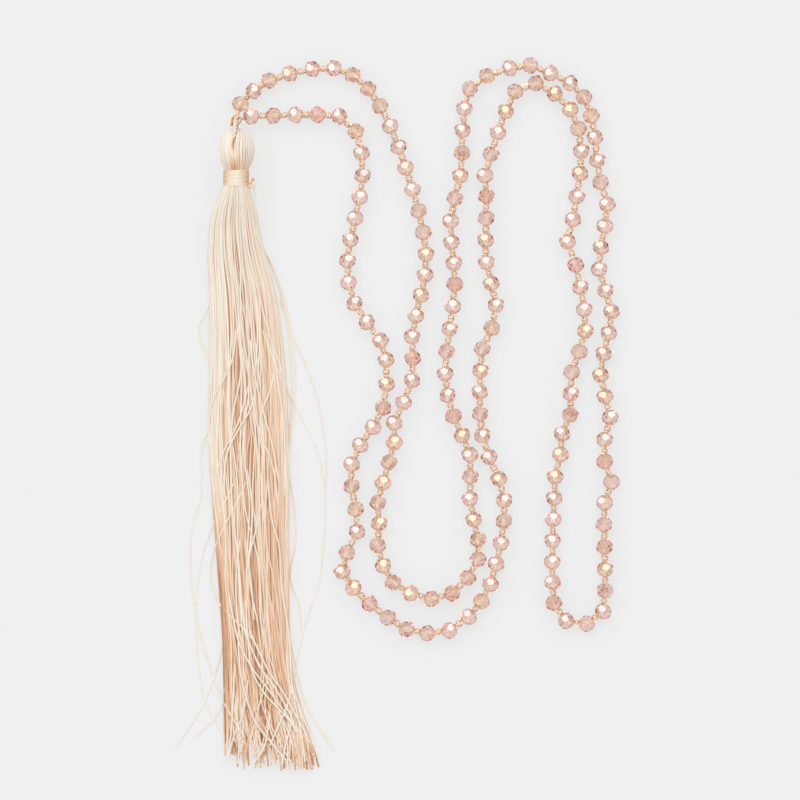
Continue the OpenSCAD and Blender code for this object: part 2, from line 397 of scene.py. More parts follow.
def build_thread_tree(tree):
    """Mesh edges to smooth curves, in even steps, swept by a ring, with its stored values."""
    link = tree.links.new
    start = add(tree, "NodeGroupInput")
    end = add(tree, "NodeGroupOutput")
    curve = add(tree, "GeometryNodeMeshToCurve")
    kind = add(tree, "GeometryNodeCurveSplineType")
    kind.spline_type = "CATMULL_ROM"
    steps = add(tree, "GeometryNodeResampleCurve")
    steps.mode = "LENGTH"
    place = add(tree, "GeometryNodeSplineParameter")
    along = attribute(tree, "Store", "along", "FLOAT")
    thick = attribute(tree, "Input", "thick", "FLOAT")
    ring = add(tree, "GeometryNodeCurvePrimitiveCircle", Radius=1.0)
    ring_place = add(tree, "GeometryNodeInputPosition")
    round_way = attribute(tree, "Store", "round", "FLOAT_VECTOR")
    sweep = add(tree, "GeometryNodeCurveToMesh", Fill_Caps=True)
    smooth = add(tree, "GeometryNodeSetShadeSmooth")
    real = add(tree, "GeometryNodeRealizeInstances")
    finish = add(tree, "GeometryNodeSetMaterial")
    link(start.outputs["Geometry"], curve.inputs["Mesh"])
    link(curve.outputs["Curve"], kind.inputs["Curve"])
    link(kind.outputs["Curve"], steps.inputs["Curve"])
    link(start.outputs["Step"], steps.inputs["Length"])
    link(steps.outputs["Curve"], along.inputs["Geometry"])
    link(place.outputs["Length"], along.inputs["Value"])
    link(along.outputs["Geometry"], sweep.inputs["Curve"])
    link(start.outputs["Sides"], ring.inputs["Resolution"])
    link(ring.outputs["Curve"], round_way.inputs["Geometry"])
    link(ring_place.outputs["Position"], round_way.inputs["Value"])
    link(round_way.outputs["Geometry"], sweep.inputs["Profile Curve"])
    link(thick.outputs["Attribute"], sweep.inputs["Scale"])
    link(sweep.outputs["Mesh"], smooth.inputs["Geometry"])
    link(smooth.outputs["Geometry"], real.inputs["Geometry"])
    link(real.outputs["Geometry"], finish.inputs["Geometry"])
    link(start.outputs["Material"], finish.inputs["Material"])
    link(finish.outputs["Geometry"], end.inputs["Geometry"])


build_thread_tree(thread_tree)
print("thread tree:", len(thread_tree.nodes), "nodes")

# %% Lines into threads
GOLDEN_STEP = 0.618


def store(mesh, label, values):
    """Stores a number or a vector for each point of a mesh."""
    values = np.asarray(values, np.float32)
    kind, slot = ("FLOAT", "value") if values.ndim == 1 else ("FLOAT_VECTOR", "vector")
    mesh.attributes.new(label, kind, "POINT").data.foreach_set(slot, values.ravel())


def lines_mesh(name, lines):
    """Lines as a mesh of edges. Each is (points in mm, radius in mm, shade), the last two one or many."""
    points, edges, thick, shades, own = [], [], [], [], []
    for number, (line, radius, shade) in enumerate(lines):
        line = np.asarray(line, float)
        first = len(points)
        points.extend(map(tuple, line * MM))
        edges.extend((first + i, first + i + 1) for i in range(len(line) - 1))
        thick.extend(np.broadcast_to(np.asarray(radius, float) * MM, len(line)))
        shades.extend(np.broadcast_to(np.asarray(shade, float), len(line)))
        own.extend([number * GOLDEN_STEP % 1] * len(line))
    mesh = bpy.data.meshes.new(name)
    mesh.from_pydata(points, edges, [])
    for label, values in (("thick", thick), ("shade", shades), ("own", own)):
        store(mesh, label, values)
    return mesh


def threads(name, lines, material, step, sides=6):
    """A finished piece of threads along these lines, in steps of that many millimetres."""
    values = {"Step": step * MM, "Sides": sides, "Material": material}
    piece = plain_piece(name, lines_mesh(name, lines), thread_tree, values)
    print(name, "lines", len(lines), "triangles", triangles(piece))
    return piece


print("each thread starts its twist", GOLDEN_STEP, "of the way on from the last one's")

# %% [markdown]
# ## The twist of a thread, as a shader group
# A thread is made of plies twisted round each other, and each ply of fine fibres. Both show as slanting
# ridges. The group reads "along" and "round", and turns the angle round the thread steadily with the
# distance along it. "Ridge" is 1 on top of a ply and 0 in the groove between two, and "Fibre" is a fine
# streaky noise that runs with the plies. Silk, bead thread and cord use it with their own pitch.

# %% The twist group
twist = bpy.data.node_groups.new("ply_twist", "ShaderNodeTree")
for label, value in (("Pitch", 0.0014), ("Plies", 2.0), ("Fibre Count", 9.0)):
    socket = twist.interface.new_socket(label, in_out="INPUT", socket_type="NodeSocketFloat")
    socket.default_value = value
for label in ("Ridge", "Fibre", "Shade"):
    twist.interface.new_socket(label, in_out="OUTPUT", socket_type="NodeSocketFloat")


def maths(tree, operation, a, b=None, c=None):
    """A Math node whose inputs are numbers or other nodes' outputs; gives its output."""
    node = tree.nodes.new("ShaderNodeMath")
    node.operation = operation
    for socket, value in zip(node.inputs, (a, b, c)):
        if value is None:
            continue
        if isinstance(value, (int, float)):
            socket.default_value = value
        else:
            tree.links.new(value, socket)
    return node.outputs[0]


def stored(tree, name):
    """An Attribute node that reads a value stored on the mesh."""
    node = tree.nodes.new("ShaderNodeAttribute")
    node.attribute_name = name
    return node


OWN_START_ANGLE = 40.0
OWN_FIBRES = 90.0
FIBRE_RUN = 1.3


def build_twist(tree):
    """Wires the group: twisted angle, then the wave of the plies and the noise of the fibres."""
    start = tree.nodes.new("NodeGroupInput")
    end = tree.nodes.new("NodeGroupOutput")
    link = tree.links.new
    parts = tree.nodes.new("ShaderNodeSeparateXYZ")
    link(stored(tree, "round").outputs["Vector"], parts.inputs[0])
    own = stored(tree, "own").outputs["Fac"]
    angle = maths(tree, "ARCTAN2", parts.outputs["Y"], parts.outputs["X"])
    angle = maths(tree, "ADD", angle, maths(tree, "MULTIPLY", own, OWN_START_ANGLE))
    turns = maths(tree, "DIVIDE", stored(tree, "along").outputs["Fac"], start.outputs["Pitch"])
    twisted = maths(tree, "SUBTRACT", angle, maths(tree, "MULTIPLY", turns, 2 * math.pi))
    half_plies = maths(tree, "MULTIPLY", start.outputs["Plies"], 0.5)
    wave = maths(tree, "COSINE", maths(tree, "MULTIPLY", twisted, half_plies))
    link(maths(tree, "POWER", maths(tree, "ABSOLUTE", wave), 0.7), end.inputs["Ridge"])
    streak = tree.nodes.new("ShaderNodeCombineXYZ")
    fibres = start.outputs["Fibre Count"]
    link(maths(tree, "MULTIPLY", maths(tree, "COSINE", twisted), fibres), streak.inputs[0])
    link(maths(tree, "MULTIPLY", maths(tree, "SINE", twisted), fibres), streak.inputs[1])
    run = maths(tree, "MULTIPLY", turns, FIBRE_RUN)
    link(maths(tree, "ADD", run, maths(tree, "MULTIPLY", own, OWN_FIBRES)), streak.inputs[2])
    noise = tree.nodes.new("ShaderNodeTexNoise")
    noise.inputs["Scale"].default_value = 1.0
    noise.inputs["Detail"].default_value = 2.0
    link(streak.outputs[0], noise.inputs["Vector"])
    link(noise.outputs["Fac"], end.inputs["Fibre"])
    link(stored(tree, "shade").outputs["Fac"], end.inputs["Shade"])


build_twist(twist)
print("twist group:", len(twist.nodes), "nodes")

# %% [markdown]
# ## Thread materials
# One maker's recipe serves the silk, the bead thread and the cord. It mixes colours one after another. The
# groove between two plies is painted deeper than the lit ridge, as shade in the groove. Where the shade is
# low the thread goes over to a deep, warm tone, and lower still to a buried one: painted shade, warm because
# light that has passed between many threads comes back warmer. The ridges stay a little paler there too, a
# painted highlight. A thread may have a rim colour for its steep sides, also painted shade, since they see
# their neighbours and not the sky.

# %% Colour and height helpers
def colour_mix(tree, factor, a, b):
    """Goes from colour a to colour b as factor goes from 0 to 1; each is three numbers or an output."""
    node = tree.nodes.new("ShaderNodeMix")
    node.data_type = "RGBA"
    tree.links.new(factor, node.inputs["Factor"])
    for label, colour in (("A", a), ("B", b)):
        if isinstance(colour, tuple):
            node.inputs[label].default_value = (*colour, 1)
        else:
            tree.links.new(colour, node.inputs[label])
    return node.outputs["Result"]


def raise_by(tree, shader, height, distance):
    """Bump: makes the surface look raised where height is 1, by that many millimetres."""
    node = tree.nodes.new("ShaderNodeBump")
    node.inputs["Strength"].default_value = 1.0
    node.inputs["Distance"].default_value = distance * MM
    tree.links.new(height, node.inputs["Height"])
    tree.links.new(node.outputs["Normal"], shader.inputs["Normal"])


def steepness(tree):
    """0 where a surface faces up or down and 1 where it stands upright."""
    normal = tree.nodes.new("ShaderNodeNewGeometry").outputs["Normal"]
    parts = tree.nodes.new("ShaderNodeSeparateXYZ")
    tree.links.new(normal, parts.inputs[0])
    return maths(tree, "SUBTRACT", 1.0, maths(tree, "ABSOLUTE", parts.outputs["Z"]))


print("colour helpers ready")

# %% [markdown]
# ## Silk, bead thread and cord
# The ridges and fibres push the surface out as bump. Silk has a soft, wide shine, so its roughness is low
# for cloth and moves with the fibres. It also glows a little, for light that comes through its fibres,
# which no solid thread lets through. Each thread then has its own colours, pitch and number of plies.

# %% The thread recipe
LIT_RIDGE = 0.35
BURIED_BELOW = 0.9


def thread_material(name, shaded_groove, ridge, deep, pitch, plies, rough, relief, rim=None):
    """A twisted thread: its colours, pitch and relief in mm, number of plies and roughness."""
    material, tree, shader = plain_material(name, ridge, rough)
    group = tree.nodes.new("ShaderNodeGroup")
    group.node_tree = twist
    group.inputs["Pitch"].default_value = pitch * MM
    group.inputs["Plies"].default_value = plies
    fibre = group.outputs["Fibre"]
    # Painted light and shade: lit ridges are painted paler and lift the shade, while the groove, the deep and
    # the buried tones are painted shade.
    lit = maths(tree, "MULTIPLY", group.outputs["Ridge"], maths(tree, "MULTIPLY_ADD", fibre, 0.5, 0.5))
    shade = maths(tree, "ADD", group.outputs["Shade"], maths(tree, "MULTIPLY", lit, LIT_RIDGE))
    colour = colour_mix(tree, lit, shaded_groove, ridge)
    colour = colour_mix(tree, shade, deep, colour)
    buried_shade = tuple(0.8 * value * value for value in deep)
    colour = colour_mix(tree, maths(tree, "ADD", shade, BURIED_BELOW), buried_shade, colour)
    # Painted shade: the steep sides of the thread go over to the rim colour.
    if rim:
        colour = colour_mix(tree, steepness(tree), colour, rim)
    tree.links.new(colour, shader.inputs["Base Color"])
    dull = maths(tree, "MULTIPLY_ADD", fibre, 0.25, rough - 0.12)
    tree.links.new(dull, shader.inputs["Roughness"])
    raise_by(tree, shader, maths(tree, "MULTIPLY_ADD", fibre, 0.35, group.outputs["Ridge"]), relief)
    return material, shader


silk, silk_shader = thread_material(
    "tassel_silk", shaded_groove=(0.75, 0.68, 0.555), ridge=(0.765, 0.805, 0.758), deep=(0.72, 0.51, 0.355),
    pitch=1.5, plies=2, rough=0.5, relief=0.065,
)
silk_shader.inputs["Sheen Weight"].default_value = 0.15
glow(silk_shader, (1.0, 0.42, 0.12), 0.1)
# The bead thread's rim colour is painted shade on its steep sides.
bead_thread, _ = thread_material(
    "bead_thread_peach", shaded_groove=(0.8, 0.55, 0.38), ridge=(0.93, 0.83, 0.72), deep=(0.66, 0.32, 0.15),
    pitch=1.1, plies=3, rough=0.35, relief=0.06, rim=(0.7, 0.33, 0.15),
)
loop_cord, _ = thread_material(
    "loop_cord_ivory", shaded_groove=(0.82, 0.68, 0.52), ridge=(0.86, 0.82, 0.74), deep=(0.82, 0.6, 0.42),
    pitch=0.8, plies=3, rough=0.45, relief=0.05,
)
print("thread materials:", silk.name, bead_thread.name, loop_cord.name)

# %% [markdown]
# ## One cut glass bead
# A cutter starts from a round blank and grinds one flat after another on it. These beads have two rows of
# seven large facets about the middle, the second row turned by half a facet, then seven smaller ones round
# each end, and a flat at each end where the bore comes out. The same is done here: a block is cut by one
# plane for each flat, and each cut is closed. The bore is then opened through the two end flats. A row of
# FLATS gives how steeply its flats look towards the end, in degrees, and how far it is turned, in facets.
# All flats are as far from the middle, so that they meet in corners 3.15 mm out.

# %% Grind and drill
BEAD_CORNER = 3.15
FLAT_AWAY = 0.897
BORE_RADIUS = 0.66
AROUND = 7
END_FLAT = 90
FLATS = [(17, 0.0), (54, 0.5), (END_FLAT, 0.0)]


def grind(work, way, away):
    """Cuts off everything farther than away in that direction and closes the cut."""
    everything = work.verts[:] + work.edges[:] + work.faces[:]
    cut = bmesh.ops.bisect_plane(
        work, geom=everything, dist=1e-9, plane_co=way * away, plane_no=way, clear_outer=True
    )
    rim = [part for part in cut["geom_cut"] if isinstance(part, bmesh.types.BMEdge)]
    bmesh.ops.holes_fill(work, edges=rim)


def drill(work, side):
    """Opens the end flat on that side and gives the ring of corners of the bore."""
    flat = next(f for f in work.faces if f.normal.z * side > 0.999)
    around = list(flat.verts)
    height = around[0].co.z
    start = math.atan2(around[0].co.y, around[0].co.x)
    ring = []
    for k in range(2 * AROUND):
        angle = start + side * k * math.pi / AROUND
        place = (BORE_RADIUS * MM * math.cos(angle), BORE_RADIUS * MM * math.sin(angle), height)
        ring.append(work.verts.new(place))
    work.faces.remove(flat)
    for i in range(AROUND):
        j = (i + 1) % AROUND
        work.faces.new([around[i], around[j], ring[2 * j], ring[2 * i + 1], ring[2 * i]])
    return ring


print("a bore of", 2 * BORE_RADIUS, "mm")

# %% Cut the bead
def bead_mesh():
    """The cut bead with its bore, and the number of its flats."""
    work = bmesh.new()
    bmesh.ops.create_cube(work, size=3 * BEAD_CORNER * MM)
    for side in (1, -1):
        for lift, shift in FLATS:
            for k in range(AROUND if lift < END_FLAT else 1):
                turn = 2 * math.pi / AROUND * (k + shift + (0.5 if side < 0 else 0))
                rise = math.radians(lift)
                out = math.cos(rise)
                way = Vector((out * math.cos(turn), out * math.sin(turn), side * math.sin(rise)))
                grind(work, way, FLAT_AWAY * BEAD_CORNER * MM)
    bmesh.ops.remove_doubles(work, verts=work.verts, dist=0.001 * MM)
    work.normal_update()
    flats = len(work.faces)
    top = drill(work, 1)
    low = drill(work, -1)
    for k in range(len(top)):
        a, b = top[k], top[(k + 1) % len(top)]
        c = min(low, key=lambda v: (v.co.xy - b.co.xy).length)
        d = min(low, key=lambda v: (v.co.xy - a.co.xy).length)
        work.faces.new([a, b, c, d])
    bmesh.ops.recalc_face_normals(work, faces=work.faces)
    mesh = bpy.data.meshes.new("one_bead")
    work.to_mesh(mesh)
    work.free()
    return mesh, flats


one_bead_mesh, facet_count = bead_mesh()
one_bead = new_object("one_bead", one_bead_mesh)
print("flats:", facet_count, "faces with the bore:", len(one_bead_mesh.polygons))

# %% [markdown]
# ## A tree that strings pieces on the thread
# Beads and knots are the same shape repeated along the thread, each turned to the thread's direction. The
# tree puts a copy of one shape at every point, aligns it with the stored direction "way", rolls it about
# that direction by the stored angle "roll", scales it by "size", and joins the copies into one mesh.

# %% The stringing tree
string_tree = new_tree(
    "string_on_thread",
    [
        ("Shape", "NodeSocketObject", None),
        ("Material", "NodeSocketMaterial", None),
    ],
)


def build_string_tree(tree):
    """Copies of one shape on points, each turned to its way, rolled and scaled."""
    link = tree.links.new
    start = add(tree, "NodeGroupInput")
    end = add(tree, "NodeGroupOutput")
    shape = add(tree, "GeometryNodeObjectInfo")
    way = attribute(tree, "Input", "way", "FLOAT_VECTOR")
    size = attribute(tree, "Input", "size", "FLOAT_VECTOR")
    angle = attribute(tree, "Input", "roll", "FLOAT")
    face_it = add(tree, "FunctionNodeAlignRotationToVector")
    face_it.axis = "Z"
    roll = add(tree, "FunctionNodeAxisAngleToRotation", Axis=(0, 0, 1))
    both = add(tree, "FunctionNodeRotateRotation")
    both.rotation_space = "LOCAL"
    copies = add(tree, "GeometryNodeInstanceOnPoints")
    real = add(tree, "GeometryNodeRealizeInstances")
    finish = add(tree, "GeometryNodeSetMaterial")
    link(start.outputs["Shape"], shape.inputs["Object"])
    link(way.outputs["Attribute"], face_it.inputs["Vector"])
    link(angle.outputs["Attribute"], roll.inputs["Angle"])
    link(face_it.outputs["Rotation"], both.inputs["Rotation"])
    link(roll.outputs["Rotation"], both.inputs["Rotate By"])
    link(start.outputs["Geometry"], copies.inputs["Points"])
    link(shape.outputs["Geometry"], copies.inputs["Instance"])
    link(both.outputs["Rotation"], copies.inputs["Rotation"])
    link(size.outputs["Attribute"], copies.inputs["Scale"])
    link(copies.outputs["Instances"], real.inputs["Geometry"])
    link(real.outputs["Geometry"], finish.inputs["Geometry"])
    link(start.outputs["Material"], finish.inputs["Material"])
    link(finish.outputs["Geometry"], end.inputs["Geometry"])


build_string_tree(string_tree)
print("stringing tree:", len(string_tree.nodes), "nodes")


def strung(name, shape, places, ways, sizes, rolls, material):
    """Copies of shape at these places (mm), turned along these ways, scaled and rolled."""
    mesh = bpy.data.meshes.new(name)
    mesh.from_pydata([tuple(p * MM) for p in places], [], [])
    for label, values in (("way", ways), ("size", sizes), ("roll", rolls)):
        store(mesh, label, values)
    piece = plain_piece(name, mesh, string_tree, {"Shape": shape, "Material": material})
    print(name, "copies", len(places), "triangles", triangles(piece))
    return piece


# %% [markdown]
# ## Coated glass
# The glass is a clear champagne pink, deeper where the light path is longer. Its flats were given a thin
# metal oxide coating that shines white, pale gold or lilac, as a soap film does. Principled glass has that
# built in: full transmission for the body, and a thin film on top. The film's thickness in nanometres and
# its IOR, how strongly it bends light, are all that sets the three coatings apart. Absorption in the volume
# makes light that zigzags between the flats come out deeper and rosier than light that goes straight
# through. The last number of each coating is its share of the beads.

# %% Bead glass
GLASS_TINT = (0.912, 0.664, 0.553)
GLASS_DENSITY = 270.0


def coated_glass(name, film, film_ior):
    """Clear champagne glass with a coating film nanometres thick."""
    material, tree, shader = plain_material(name, (1.0, 1.0, 0.98), 0.02)
    shader.inputs["Transmission Weight"].default_value = 1.0
    shader.inputs["IOR"].default_value = 1.54
    shader.inputs["Thin Film Thickness"].default_value = film
    shader.inputs["Thin Film IOR"].default_value = film_ior
    body = tree.nodes.new("ShaderNodeVolumeAbsorption")
    body.inputs["Color"].default_value = (*GLASS_TINT, 1)
    body.inputs["Density"].default_value = GLASS_DENSITY
    tree.links.new(body.outputs["Volume"], tree.nodes["Material Output"].inputs["Volume"])
    return material


COATINGS = [
    ("white_flash", coated_glass("champagne_glass_white_flash", film=48.0, film_ior=2.12), 0.7),
    ("gold_flash", coated_glass("champagne_glass_gold_flash", film=77.0, film_ior=2.12), 0.24),
    ("lilac_flash", coated_glass("champagne_glass_lilac_flash", film=152.0, film_ior=1.82), 0.06),
]
print("coatings:", [name for name, _, _ in COATINGS])

# %% [markdown]
# ## The beads
# Their places come from the route, so each stands for its solid. A faceted bead doesn't lie just any way on
# a table: it comes to rest on a flat, and another flat looks up. So each bead is rolled until one of its
# large flats looks half way between the camera and the soft box, give or take some degrees, and shines like
# those in the photograph. Each also leans a little out of the line of the thread. The beads of each coating
# become one piece.

# %% Turn each bead
strand_names = [f"bead_strand_{n:02d}" for n in range(1, BEADS // BEADS_PER_STRAND + 1)]
half_way = (Vector(SOFT_BOX_PLACE).normalized() + Vector((0, 0, 1))).normalized()
chance = random.Random(11)
BEAD_LEAN = 0.07
ROLL_SLACK = 26


def roll_to_light(way, slack):
    """The roll that turns a large flat of a bead to the light, give or take slack degrees."""
    turned = Vector((0, 0, 1)).rotation_difference(Vector(way))
    seen = turned.inverted() @ half_way
    facet = 0.0 if seen.z > 0 else math.pi / AROUND
    return math.atan2(seen.y, seen.x) - facet + math.radians(chance.uniform(-slack, slack))


leans = [[chance.gauss(0, BEAD_LEAN) for _ in range(3)] for _ in range(BEADS)]
sits = bead_ways + np.array(leans)
rolls = np.array([roll_to_light(way, ROLL_SLACK) for way in sits])
print("beads turned:", len(rolls))

# %% String the beads
draw = np.array([chance.random() for _ in range(BEADS)])
low = 0.0
for name, glass, part in COATINGS:
    chosen = (draw >= low) & (draw < low + part)
    low += part
    sizes = np.ones((int(chosen.sum()), 3))
    beads = strung("beads_" + name, one_bead, bead_places[chosen], sits[chosen], sizes, rolls[chosen], glass)
    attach(beads, "root")
    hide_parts(*strand_names)

# %% [markdown]
# ## Thread through the beads
# A single peach thread runs through every bore and fills it, so it shows through the glass as a broad band.
# It is one line through the middles of the beads, from the joining knot round the whole necklace and back,
# so it is a real thread and no row of pins. Satin thread gathers the light that falls down the bore, which
# the renderer can't follow through coated glass, so this material glows a little.

# %% Run the thread
BEAD_THREAD_RADIUS = 0.7
THIN_END = 0.3

core_thread, _, core_shader = plain_material("bead_thread_in_glass", (0.86, 0.73, 0.58), 0.6)
glow(core_shader, (0.92, 0.66, 0.43), 0.27)
core_radii = [THIN_END] + [BEAD_THREAD_RADIUS] * BEADS + [THIN_END]
core = threads("thread_through_beads", [(with_knot, core_radii, 0.5)], core_thread, step=1.3, sides=6)
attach(core, "root")

# %% [markdown]
# ## Knots between the beads
# After every bead the thread is knotted, which keeps the beads apart and lets the strand bend. A small
# overshand knot is the thread wound twice round itself. One knot is modelled as such a winding, pale in its
# middle and painted deeper at its ends as shade where it meets the beads, and then strung like the beads.
# Each is stretched to fill its own gap.

# %% One knot
KNOT_POINTS = 17
KNOT_THREAD = 0.6
RISE = 0.16


def winding(turns, length, radius, points, lean):
    """A line that leaves the axis over its first part, winds round it and returns to it."""
    line = []
    for i in range(points):
        t = i / (points - 1)
        away = radius * min(1.0, t / RISE, (1 - t) / RISE) ** 0.7
        angle = turns * 2 * math.pi * t
        up = length * (t - 0.5) + lean * math.sin(angle)
        line.append((away * math.cos(angle), away * math.sin(angle), up))
    return line


knot_line = winding(turns=2.2, length=1.8, radius=0.72, points=KNOT_POINTS, lean=0.14)
# Painted shade: the knot is pale in its middle and deep at both ends.
knot_shades = [1.2 - 1.6 * abs(2 * i / (KNOT_POINTS - 1) - 1) ** 3 for i in range(KNOT_POINTS)]
one_knot = threads("one_knot", [(knot_line, KNOT_THREAD, knot_shades)], bead_thread, step=0.7, sides=5)

# %% A knot in every gap
BEAD_END = 2.7
KNOT_LENGTH = 2.6

gap_middles = (bead_places[1:] + bead_places[:-1]) / 2
gap_ways = bead_places[1:] - bead_places[:-1]
gap_lengths = np.linalg.norm(gap_ways, axis=1)
gap_ways /= gap_lengths[:, None]
knot_sizes = []
knot_ways = []
for n in range(BEADS - 1):
    room = gap_lengths[n] - 2 * BEAD_END
    stretch = min(1.2, max(0.5, room / KNOT_LENGTH))
    girth = chance.uniform(0.92, 1.08) * min(1.0, 0.75 + 0.25 * stretch)
    knot_sizes.append((girth, girth, stretch))
    tilt = np.array([chance.gauss(0, 0.12), chance.gauss(0, 0.12), chance.gauss(0, 0.05)])
    knot_ways.append(gap_ways[n] + tilt)
knot_rolls = [chance.uniform(0, 2 * math.pi) for _ in knot_ways]
knots = strung("thread_knots", one_knot, gap_middles, knot_ways, knot_sizes, knot_rolls, bead_thread)
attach(knots, "root")
gaps = gap_lengths - 2 * BEAD_RADIUS
print("gaps between beads", round(gaps.min(), 2), "to", round(gaps.max(), 2), "mm")

# %% [markdown]
# ## The hanging loop
# The tassel hangs from a loop of ivory cord, two plies twisted together. Each ply is a line that winds
# round the ring's own line, and the two are half a turn apart. The upper half of the ring leans a little to
# the left where it goes into the head.

# %% Twist two plies into a ring
TASSEL_X = -64.4
HEAD_TOP = 102.7
AXIS_HEIGHT = 6.35
LOOP_Y = 101.2
LOOP_RADIUS = 4.8
LOOP_LEAN = 0.13
LEANS_BELOW = 106
PLY_RADIUS = 0.46


def ring_ply(start_turn, turns, offset, points):
    """One ply of the cord ring, which stands upright along the tassel."""
    line = []
    for i in range(points + 1):
        t = i / points
        a = 2 * math.pi * t - math.pi / 2
        b = 2 * math.pi * (turns * t + start_turn)
        out = LOOP_RADIUS + offset * math.cos(b)
        y = LOOP_Y + out * math.sin(a)
        lean = -LOOP_LEAN * max(0.0, LEANS_BELOW - y) if math.cos(a) > 0 else 0.0
        line.append((TASSEL_X + lean + offset * math.sin(b), y, AXIS_HEIGHT + out * math.cos(a)))
    return line


plies = []
for half_turn in (0.0, 0.5):
    ply = ring_ply(half_turn, turns=10, offset=0.38, points=160)
    plies.append((ply, PLY_RADIUS, 0.3 + half_turn))
loop = threads("hanging_loop_plies", plies, loop_cord, step=0.4, sides=8)
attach(loop, "root")
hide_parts("hanging_loop")

# %% [markdown]
# ## The joining knot
# Both ends of the bead thread are tied round the loop. The knot is three tight turns round the cord with an
# overhand turn on top. One end was singed to keep it from fraying, which left a rust coloured drop.

# %% Tie the ends
END_RADIUS = 0.62
TURN_RADIUS = 0.45


def coil(centre, radius, low, high, turns, points):
    """A line wound round an upright axis at centre."""
    line = []
    for i in range(points):
        t = i / (points - 1)
        a = turns * 2 * math.pi * t
        x = centre[0] + radius * math.cos(a)
        y = centre[1] + radius * math.sin(a)
        line.append((x, y, low + (high - low) * t))
    return line


knot_lines = []
for bead in (bead_places[0], bead_places[-1]):
    to_bead = [KNOT_PLACE + (bead - KNOT_PLACE) * part for part in (0.0, 0.3, 0.7)]
    # Painted shade: each end to a bead is deep at the knot and at the bead.
    knot_lines.append((to_bead, END_RADIUS, [0.0, 0.6, 0.0]))
round_cord = coil(KNOT_PLACE, radius=1.42, low=4.9, high=7.5, turns=3.3, points=60)
overhand = [
    (-63.2, 107.6, 7.6), (-64.0, 107.0, 8.25), (-64.9, 106.0, 8.4), (-65.2, 105.1, 8.2),
    (-64.5, 104.6, 8.0), (-63.6, 105.0, 8.0), (-63.1, 106.0, 7.8), (-62.8, 107.0, 7.0),
]
across = [
    (-62.9, 105.2, 7.3), (-63.8, 105.8, 8.1), (-64.8, 106.8, 8.2), (-65.4, 107.1, 7.7), (-65.7, 106.7, 7.4),
]
# Painted shade: the turns round the cord and the crossing end are deeper than the overhand turn on top.
for line, shade in ((round_cord, 0.1), (overhand, 0.7), (across, 0.2)):
    knot_lines.append((line, TURN_RADIUS, shade))
tie = threads("joining_knot_turns", knot_lines, bead_thread, step=0.4, sides=8)
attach(tie, "root")
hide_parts("joining_knot")

# %% The singed end
singed, singed_tree, singed_shader = plain_material("singed_end", (0.62, 0.2, 0.06), 0.3)
speckle = singed_tree.nodes.new("ShaderNodeTexNoise")
speckle.inputs["Scale"].default_value = 1800.0
surface = singed_tree.nodes.new("ShaderNodeTexCoord")
singed_tree.links.new(surface.outputs["Object"], speckle.inputs["Vector"])
rust = colour_ramp(singed_tree, speckle.outputs["Fac"], [(0, (0.45, 0.12, 0.03)), (1, (0.86, 0.4, 0.16))])
singed_tree.links.new(rust, singed_shader.inputs["Base Color"])

drop_line = [
    (-65.5, 106.8, 7.7), (-65.7, 105.9, 7.7), (-65.8, 105.0, 7.5), (-66.0, 104.3, 7.2), (-66.15, 103.9, 7.0),
]
drop_radii = [0.46, 0.5, 0.42, 0.66, 0.3]
drop = threads("singed_thread_end", [(drop_line, drop_radii, 0.5)], singed, step=0.2, sides=8)
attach(drop, "root")

# %% [markdown]
# ## The head of the tassel
# The silk is folded over the loop, so the head is a bulb of threads that run from its top down to the
# binding. They follow the outline of the bulb. At the loop they part to both sides and leave a dark slit,
# which closes towards the binding. A darker body inside stops light from passing between the threads. Both
# tables start each row with a part of the head's length. Then follows the outline's share of the full
# radius, or half the parting's width in mm and how far its middle is turned to the left.

# %% Outline of the head
HEAD_OUTLINE = [
    (0, 0.3), (0.018, 0.42), (0.055, 0.55), (0.1, 0.67), (0.164, 0.79), (0.27, 0.91), (0.45, 1), (0.6, 1),
    (0.78, 0.92), (0.89, 0.81), (0.98, 0.72), (1, 0.7),
]
PARTING = [
    (0, 0.5, 0.12), (0.1, 0.55, 0.12), (0.2, 0.5, 0.14), (0.3, 0.4, 0.18), (0.42, 0.26, 0.22),
    (0.52, 0.1, 0.23), (0.62, 0.0, 0.2), (0.8, 0.0, 0.1), (1, 0.0, 0.0),
]
HEAD_RADIUS = 6.35
HEAD_LENGTH = 14.7
NECK_RADIUS = 3.9


def read_off(rows, where, column=1):
    """A value straight between the rows of a table."""
    table = np.array(rows)
    return float(np.interp(where, table[:, 0], table[:, column]))


def ease(value, start, stop):
    """0 below start, 1 above stop, and smooth between."""
    t = min(1.0, max(0.0, (value - start) / (stop - start)))
    return t * t * (3 - 2 * t)


def bell(distance, width):
    """1 where distance is 0, and falling off smoothly over that width."""
    return math.exp(-((distance / width) ** 2))


def round_axis(y, out, angle, to_right=0.0):
    """A point so far out from the axis of the tassel, at that angle round it."""
    return TASSEL_X + to_right + out * math.cos(angle), y, AXIS_HEIGHT + out * math.sin(angle)


print("head", HEAD_LENGTH, "mm long and", 2 * HEAD_RADIUS, "mm wide")

# %% Threads of the head
HEAD_THREADS = 64
HEAD_PARTS = (-0.06, -0.02, 0.0, 0.03, 0.08, 0.15, 0.24, 0.34, 0.45, 0.56, 0.68, 0.8, 0.92, 1.0, 1.1)
MOST_RADIUS = 0.34
FAN_SHADE_MIDDLE = 1.66


def head_angle(side, share, gap, middle):
    """Where a thread lies round the head: sides 0 and 1 are above, right and left of the parting."""
    if side == 0:
        return (middle - gap) * (1 - share)
    if side == 1:
        return middle + gap + share * (math.pi - middle - gap)
    from_slit = gap + share * (math.pi / 2 - gap)
    return -math.pi / 2 + (from_slit if side == 3 else -from_slit)


